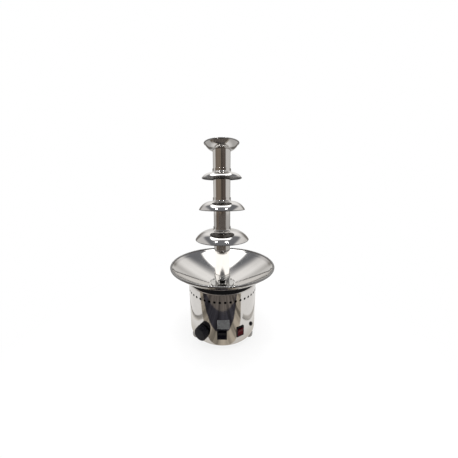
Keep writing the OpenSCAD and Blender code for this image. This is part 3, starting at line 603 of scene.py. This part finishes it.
def tier_skin(node):
    """Domed tier: spun sheet with a rolled rim, on a notched neck sleeve."""
    low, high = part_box(node)
    bead_c = Vector((high.x - BEAD_R, low.z + BEAD_R))
    dome_z = high.z - NECK_H
    root = Vector((SLEEVE_OUT + NECK_R, dome_z))
    rim = Vector((high.x, low.z + 2 * BEAD_R))
    rim_normal = -bowed(root, rim, DOME_SWEEP)[-1][1]
    rim_along = right_of(rim_normal)
    top = flipped(bowed(root, bead_c + BEAD_R * rim_normal, DOME_SWEEP))
    within = BEAD_R - SHEET_T
    joint = within * rim_normal - math.sqrt(BEAD_R**2 - within**2) * rim_along
    under = outside_of(flipped(moved(top, -SHEET_T)), bead_c, BEAD_R)
    dome = [
        line((SLEEVE_OUT, dome_z - SHEET_T), under[0][0]),
        under + [(bead_c + joint, -rim_normal)],
        arc(bead_c, BEAD_R, angle_of(joint), FULL_TURN + angle_of(rim_normal), DOME_BEAD_STEPS),
        top,
        arc((root.x, dome_z + NECK_R), NECK_R, 270, 180, NECK_STEPS, -1),
        line((SLEEVE_OUT, dome_z + NECK_R), (SLEEVE_OUT, dome_z - SHEET_T)),
    ]
    piece = turned_piece(node + "_skin", node, [sweep(dome), *sleeve_arcs(high.z, dome_z)])
    # Undersides take the darker steel: partly unpolished, partly painted shade under the dome
    finish_runs(piece, dome, TURNS, "dull_shaded_steel", DOME_UNDERSIDE)
    # Rim bead: satin, with painted dark reflection in its colour
    finish_runs(piece, dome, TURNS, "rim_steel_painted_reflection", DOME_RIM)


SPIGOT_T = 0.8 * MM
SPIGOT_H = 10 * MM
SPIGOT_OUT = TUBE_R - TUBE_T - SLIP
SPIGOT_IN = SPIGOT_OUT - SPIGOT_T
CROWN_SWEEP = 45
CROWN_BEAD_STEPS = 28
CROWN_RIM = (4,)


def crown_skin():
    """Cup on top of the tower, with a spigot that plugs into the tube."""
    low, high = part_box("crown")
    floor_z = low.z + SPIGOT_H
    cup_z = floor_z + SHEET_T
    bead_c = Vector((high.x - BEAD_R, high.z - BEAD_R))
    path = bowed((TUBE_R, floor_z), bead_c, CROWN_SWEEP)
    rim_normal = path[-1][1]
    rim_along = -right_of(rim_normal)
    outside = outside_of(path, bead_c, BEAD_R) + [(bead_c - BEAD_R * rim_along, rim_normal)]
    joint = -SHEET_T * rim_normal - math.sqrt(BEAD_R**2 - SHEET_T**2) * rim_along
    inside = flipped(outside_of(moved(path, -SHEET_T), bead_c, BEAD_R))
    cup = [
        line((SPIGOT_IN, low.z), (SPIGOT_OUT, low.z)),
        line((SPIGOT_OUT, low.z), (SPIGOT_OUT, floor_z)),
        line((SPIGOT_OUT, floor_z), (TUBE_R, floor_z)),
        outside,
        arc(bead_c, BEAD_R, angle_of(-rim_along), FULL_TURN + angle_of(joint), CROWN_BEAD_STEPS),
        [(bead_c + joint, -rim_normal), *inside],
        line((TUBE_R, cup_z), (SPIGOT_IN, cup_z)),
        line((SPIGOT_IN, cup_z), (SPIGOT_IN, low.z)),
    ]
    piece = turned_piece("crown_skin", "crown", [sweep(cup)])
    # Rim bead: satin, with painted dark reflection in its colour
    finish_runs(piece, cup, TURNS, "rim_steel_painted_reflection", CROWN_RIM)


BOWL_T = 2 * MM
BOWL_BEAD_R = 3 * MM
BOWL_BEAD_STEPS = 40
BOWL_TURNS = 256
BOWL_RIM = (2,)
BAND_H = 12 * MM
BAND_W = 12 * MM
FLOOR_R = 44 * MM
DISH_ARC_R = 400 * MM
DISH_STEPS = 64
KNEE_EASE = 2.5 * MM
BUSH_R = 8 * MM
BUSH_RUN = 0.06 * MM
HOLE_R = BUSH_R + BUSH_RUN


def bowl_skin():
    """Wide dish with a flat floor, a steeper band under the rim and a rolled edge."""
    low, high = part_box("bowl")
    floor_z = low.z + BOWL_T
    knee = Vector((high.x - BAND_W, high.z - BAND_H))
    bead_c = Vector((high.x - BOWL_BEAD_R, high.z - BOWL_BEAD_R))
    dish = outside_of(sagging_arc((FLOOR_R, floor_z), knee, DISH_ARC_R, DISH_STEPS), knee, KNEE_EASE)
    band_along = (bead_c - knee).normalized()
    band = line(knee + KNEE_EASE * band_along, bead_c - BOWL_BEAD_R * band_along)
    path = dish + bent(dish[-1][0], knee, band[0][0])[1:-1] + band
    band_normal = band[-1][1]
    joint = BOWL_T * band_normal - math.sqrt(BOWL_BEAD_R**2 - BOWL_T**2) * band_along
    under = moved(path[:-1], BOWL_T) + [(bead_c + joint, band_normal)]
    rim_stop = FULL_TURN + angle_of(-band_along)
    runs = [
        line((HOLE_R, low.z), under[0][0]),
        under,
        arc(bead_c, BOWL_BEAD_R, angle_of(joint), rim_stop, BOWL_BEAD_STEPS),
        flipped(path),
        line((FLOOR_R, floor_z), (HOLE_R, floor_z)),
        line((HOLE_R, floor_z), (HOLE_R, low.z)),
    ]
    piece = turned_piece("bowl_skin", "bowl", [sweep(runs, BOWL_TURNS)])
    # Rim bead: satin, with painted dark reflection in its colour
    finish_runs(piece, runs, BOWL_TURNS, "rim_steel_painted_reflection", BOWL_RIM)


# Label plate

PLATE_AZIMUTH = math.radians(1.1)
PLATE_W = 36 * MM
PLATE_LOW = 78 * MM
PLATE_HIGH = 109 * MM
PLATE_T = 0.4 * MM
PLATE_CORNER = 2.5 * MM
PLATE_STEPS = 24


def plate_columns():
    """Azimuth, lower and upper height of the plate's upright lines, closer at its round corners."""
    columns = []
    for i in range(PLATE_STEPS + 1):
        across = -PLATE_W / 2 * math.cos(math.pi * i / PLATE_STEPS)
        past = max(0.0, abs(across) - PLATE_W / 2 + PLATE_CORNER)
        cut = PLATE_CORNER - math.sqrt(max(0.0, PLATE_CORNER**2 - past**2))
        columns.append((PLATE_AZIMUTH + across / SHELL_R, PLATE_LOW + cut, PLATE_HIGH - cut))
    return columns


def label_plate():
    """Bare plate that follows the shell's curve."""
    vertices, faces, normals = [], [], []

    def quad(corners, normal=None):
        offset = len(vertices)
        for azimuth, radius, z in corners:
            ray = (math.sin(azimuth), -math.cos(azimuth), 0)
            vertices.append((radius * ray[0], radius * ray[1], z))
            normals.append(normal or ray)
        faces.append(tuple(range(offset, offset + 4)))

    back, face = SHELL_R, SHELL_R + PLATE_T
    columns = plate_columns()
    for (a, low_a, high_a), (b, low_b, high_b) in zip(columns, columns[1:]):
        quad([(a, face, low_a), (b, face, low_b), (b, face, high_b), (a, face, high_a)])
        quad([(a, face, high_a), (b, face, high_b), (b, back, high_b), (a, back, high_a)], (0, 0, 1))
        quad([(a, back, low_a), (b, back, low_b), (b, face, low_b), (a, face, low_a)], (0, 0, -1))
    for (a, low_z, high_z), side in ((columns[0], -1), (columns[-1], 1)):
        edge = [(a, face, low_z), (a, back, low_z), (a, back, high_z), (a, face, high_z)]
        quad(edge[::side], (side * math.cos(a), side * math.sin(a), 0))
    piece = mesh_piece("label_plate", vertices, faces, normals, FINISHES["plate_metal"], "base")


# Room, which shows in mirrors alone

WHITE = (1.0, 1.0, 1.0)
FILL = 0.75
WALL = (0.74, 0.73, 0.715)
STAND = (0.24, 0.225, 0.21)
BROWN_LEFT = (0.20, 0.16, 0.13)
BROWN_MIDDLE = (0.24, 0.195, 0.155)
BROWN_RIGHT = (0.21, 0.17, 0.135)
GAP = (0.06, 0.05, 0.042)
DARK_LEFT = (0.12, 0.095, 0.08)
DARK_RIGHT = (0.11, 0.09, 0.078)
# Tones round the room, by degrees from the front towards the right
ROOM = [
    (-180, WALL), (-166, WALL), (-158, STAND), (-142, STAND), (-134, WALL), (-92, WALL),
    (-82, BROWN_LEFT), (-45, BROWN_MIDDLE), (-12, BROWN_RIGHT), (-3, GAP), (6, GAP),
    (14, DARK_LEFT), (48, DARK_RIGHT), (60, WALL),
    (134, WALL), (142, STAND), (158, STAND), (166, WALL), (180, WALL),
]
# Degrees of elevation over which the upper walls take over
UPPER_FROM = (12, 34)
LEFT_WALL = (0.70, 0.69, 0.69)
RIGHT_WALL = (0.88, 0.87, 0.865)
BACK_WALL = (1.10, 1.09, 1.08)
# Parts of a ray's direction between which one upper wall turns into another
SIDE_TURN = (-0.45, 0.35)
BACK_FROM = (0.3, 0.6)
BACK_HALF = (0.35, 0.6)
CEILING = (0.20, 0.205, 0.22)
# The ceiling's soft edges, as distances for each metre of its height
CEILING_SIDE = (0.85, 1.25)
CEILING_BACK = (0.08, 0.48)
CEILING_FRONT = (-1.75, -1.3)
CEILING_FLARE = 0.6
LEAST_RISE = 0.05


def room_colour(tree, direction, level=1.0):
    """The room's tone in a direction, at some level of brightness."""
    half_turn = FULL_TURN / 2
    stops = [((angle + half_turn) / FULL_TURN, shade(tone, level)) for angle, tone in ROOM]
    return tree.ramp(tree.azimuth(direction), stops)


def upper_walls(tree, ray):
    """The left wall turns into the right one, and a paler wall lies between them at the back."""
    sides = tree.mixed(tree.ranged(ray["X"], *SIDE_TURN), LEFT_WALL, RIGHT_WALL)
    middle = tree.ranged(tree.math("ABSOLUTE", ray["X"]), *BACK_HALF, 1.0, 0.0)
    behind = tree.math("MULTIPLY", tree.ranged(ray["Y"], *BACK_FROM), middle)
    return tree.mixed(behind, sides, BACK_WALL)


def ceiling_share(tree, ray):
    """Where a ray meets the dark ceiling, which reaches further back at its sides."""
    up = tree.math("MAXIMUM", ray["Z"], LEAST_RISE)
    across = tree.math("ABSOLUTE", tree.math("DIVIDE", ray["X"], up))
    along = tree.math("DIVIDE", ray["Y"], up)
    flared = tree.math("SUBTRACT", along, tree.math("MULTIPLY", across, CEILING_FLARE))
    within = tree.math("MULTIPLY", tree.ranged(across, *CEILING_SIDE, 1.0, 0.0),
                       tree.ranged(flared, *CEILING_BACK, 1.0, 0.0))
    return tree.math("MULTIPLY", within, tree.ranged(along, *CEILING_FRONT))


def make_world():
    """White to the camera and through glass, a room in mirrors, and even light for the rest."""
    world = bpy.data.worlds.new("studio")
    SCENE.world = world
    tree = Tree(world)
    direction = tree.add("ShaderNodeTexCoord").outputs["Generated"]
    ray = tree.split(direction)
    risen = tree.ranged(ray["Z"], *(math.sin(math.radians(angle)) for angle in UPPER_FROM))
    walls = tree.mixed(risen, room_colour(tree, direction), upper_walls(tree, ray))
    mirrored = tree.backdrop(tree.mixed(ceiling_share(tree, ray), walls, CEILING))
    glossy, clear = tree.light_path()
    lit = tree.either(glossy, tree.backdrop(WHITE, FILL), mirrored)
    tree.add("ShaderNodeOutputWorld", {"Surface": tree.either(clear, lit, tree.backdrop(WHITE))})


# Floor and cards

FLOOR_HALF = 4.0
FLOOR_SCALE = 40.0
FLOOR_TONES = [(0.3, 0.90), (0.7, 0.93)]
# Distances from the axis over which the shadow ends, and the floor's own glow at both
SHADOW_END = (0.2, 0.7)
GLOW_SHARE = (0.8, 1.0)
TABLE = (0.90, 0.89, 0.88)
SHADED = (0.66, 0.63, 0.58)
SHADED_END = (0.115, 0.19)
TABLE_END = (0.3, 0.9)
ROOM_LEVEL = 0.73


def floor_material():
    """White to the camera with a soft shadow; in mirrors a pale table that ends in the room."""
    material, tree = new_material("pale_floor")
    clouds = tree.noise(tree.place(), FLOOR_SCALE, detail=4.0)
    tint = tree.toned(clouds, WHITE, FLOOR_TONES)
    matt = tree.add("ShaderNodeBsdfDiffuse", {"Color": tint}).outputs[0]
    away = tree.radius()
    table = tree.mixed(tree.ranged(away, *SHADED_END), SHADED, TABLE)
    room = room_colour(tree, tree.place(), ROOM_LEVEL)
    mirrored = tree.glow(tree.mixed(tree.ranged(away, *TABLE_END), table, room))
    glossy, clear = tree.light_path()
    share = tree.math("MULTIPLY", clear, tree.ranged(away, *SHADOW_END, *GLOW_SHARE))
    plain = tree.either(share, matt, tree.glow(WHITE))
    return close_material(material, tree, tree.either(glossy, plain, mirrored))


STREAK_STRETCH = (26.0, 2.0, 1.0)
STREAK_TONES = [(0.36, 0.5), (0.64, 1.7)]


def card_material(name, colour):
    """A tone with streaks that run away from the object, as in a room a little out of focus."""
    material, tree = new_material(name)
    streaks = tree.noise(tree.scaled_place(STREAK_STRETCH), 1.0)
    return close_material(material, tree, tree.glow(tree.toned(streaks, colour, STREAK_TONES)))


SOFTBOX_AT = (-0.07, 0.08, 1.25)
SOFTBOX_HALF = (0.52, 0.32)
SOFTBOX_EDGE = 0.65
SOFTBOX_STRENGTH = 2.4


def softbox_material():
    """A bright panel with round corners, fading towards its edge."""
    material, tree = new_material("softbox")
    across = tree.scaled_place((1 / SOFTBOX_HALF[0], 1 / SOFTBOX_HALF[1], 1))
    squared = tree.add("ShaderNodeVectorMath", {0: across, 1: across}, operation="MULTIPLY").outputs[0]
    bright = tree.ranged(tree.length(squared), SOFTBOX_EDGE, 1.0, 1.0, 0.0)
    clear = tree.add("ShaderNodeBsdfTransparent").outputs[0]
    panel = tree.either(bright, clear, tree.glow(WHITE, SOFTBOX_STRENGTH))
    return close_material(material, tree, panel)


def stage_sheet(name, corners, height, material):
    mesh = bpy.data.meshes.new(name)
    mesh.from_pydata([(x, y, height) for x, y in corners], [], [tuple(range(len(corners)))])
    mesh.materials.append(material)
    sheet = bpy.data.objects.new(name, mesh)
    SCENE.collection.objects.link(sheet)
    return sheet


def mirror_only(sheet):
    """Seen in the metal alone, as what stands behind the camera is."""
    sheet.visible_camera = False
    sheet.visible_diffuse = False
    sheet.visible_transmission = False
    sheet.visible_shadow = False


def rectangle(x_low, x_high, y_low, y_high):
    return [(x_low, y_low), (x_high, y_low), (x_high, y_high), (x_low, y_high)]


# Cards that lie one over another in front, each by the points of its edge towards the object
SHADED_HEM = [(-0.6, -0.165), (-0.2, -0.142), (-0.06, -0.129), (0.06, -0.129), (0.17, -0.155), (0.7, -0.45)]
FRONT = [(-0.6, -0.23), (-0.2, -0.203), (-0.05, -0.18), (0.05, -0.185), (0.16, -0.24), (0.7, -0.60)]
BEYOND = [(-0.6, -0.27), (-0.2, -0.29), (0.2, -0.30), (0.7, -0.62)]
CARDS = (
    # The table just in front, in mirrors alone: a brown-grey tone, partly the table's own and partly
    # painted shade of the bowl above it
    ("shaded_table_hem", SHADED_HEM, (0.32, 0.285, 0.235)),
    ("dark_front", FRONT, (0.035, 0.034, 0.042)),
    ("beyond", BEYOND, (0.12, 0.105, 0.095)),
)
CARD_LIFT = 1 * MM
STRIP_TONE = (0.52, 0.50, 0.47)
STRIP_X = (0.18, 0.21)
STRIP_Y = (-0.14, 0.4)


def make_cards():
    """Three cards in front of the object and a strip to each side of it."""
    ends = [(FLOOR_HALF, -FLOOR_HALF), (-FLOOR_HALF, -FLOOR_HALF)]
    for level, (name, edge, tone) in enumerate(CARDS, 1):
        mirror_only(stage_sheet(name, ends + edge, level * CARD_LIFT, card_material(name, tone)))
    grey = card_material("table_edge", STRIP_TONE)
    for side in (-1, 1):
        strip = rectangle(side * STRIP_X[0], side * STRIP_X[1], *STRIP_Y)
        mirror_only(stage_sheet(f"table_edge_{side + 1}", strip, CARD_LIFT, grey))


def make_stage():
    floor = rectangle(-FLOOR_HALF, FLOOR_HALF, -FLOOR_HALF, FLOOR_HALF)
    stage_sheet("floor", floor, 0, floor_material())
    make_cards()
    x, y = SOFTBOX_HALF
    softbox = stage_sheet("softbox", rectangle(-x, x, -y, y), 0, softbox_material())
    softbox.location = SOFTBOX_AT
    mirror_only(softbox)


# Lamps

OVERHEAD = {"place": (0, 0.02, 1.12), "aim": (0, 0.02, 0), "size": 1.0, "power": 12.0}
SPOT_AZIMUTHS = (("left_lamp", -40), ("right_lamp", 32))
SPOT_REACH = 0.72
SPOT_HEIGHT = 1.6
SPOT_AIM = (0, 0, 0.35)
SPOT_SIZE = 0.14
SPOT_POWER = 2.5


def lamp(name, place, aim, size, power, mirrored=True):
    """A round lamp that the camera doesn't see."""
    data = bpy.data.lights.new(name, "AREA")
    data.shape = "DISK"
    data.size = size
    data.energy = power
    light = bpy.data.objects.new(name, data)
    light.location = place
    light.rotation_euler = (Vector(aim) - Vector(place)).to_track_quat("-Z", "Y").to_euler()
    light.visible_camera = False
    light.visible_glossy = mirrored
    SCENE.collection.objects.link(light)


def make_lamps():
    lamp("overhead", **OVERHEAD, mirrored=False)
    for name, azimuth in SPOT_AZIMUTHS:
        a = math.radians(azimuth)
        place = (SPOT_REACH * math.sin(a), -SPOT_REACH * math.cos(a), SPOT_HEIGHT)
        lamp(name, place, SPOT_AIM, SPOT_SIZE, SPOT_POWER)


make_camera()
dress_nodes()
for tier in ("tier_lower", "tier_middle", "tier_upper"):
    tier_skin(tier)
crown_skin()
bowl_skin()
label_plate()
make_world()
make_stage()
make_lamps()
SCENE.view_settings.view_transform = "Standard"
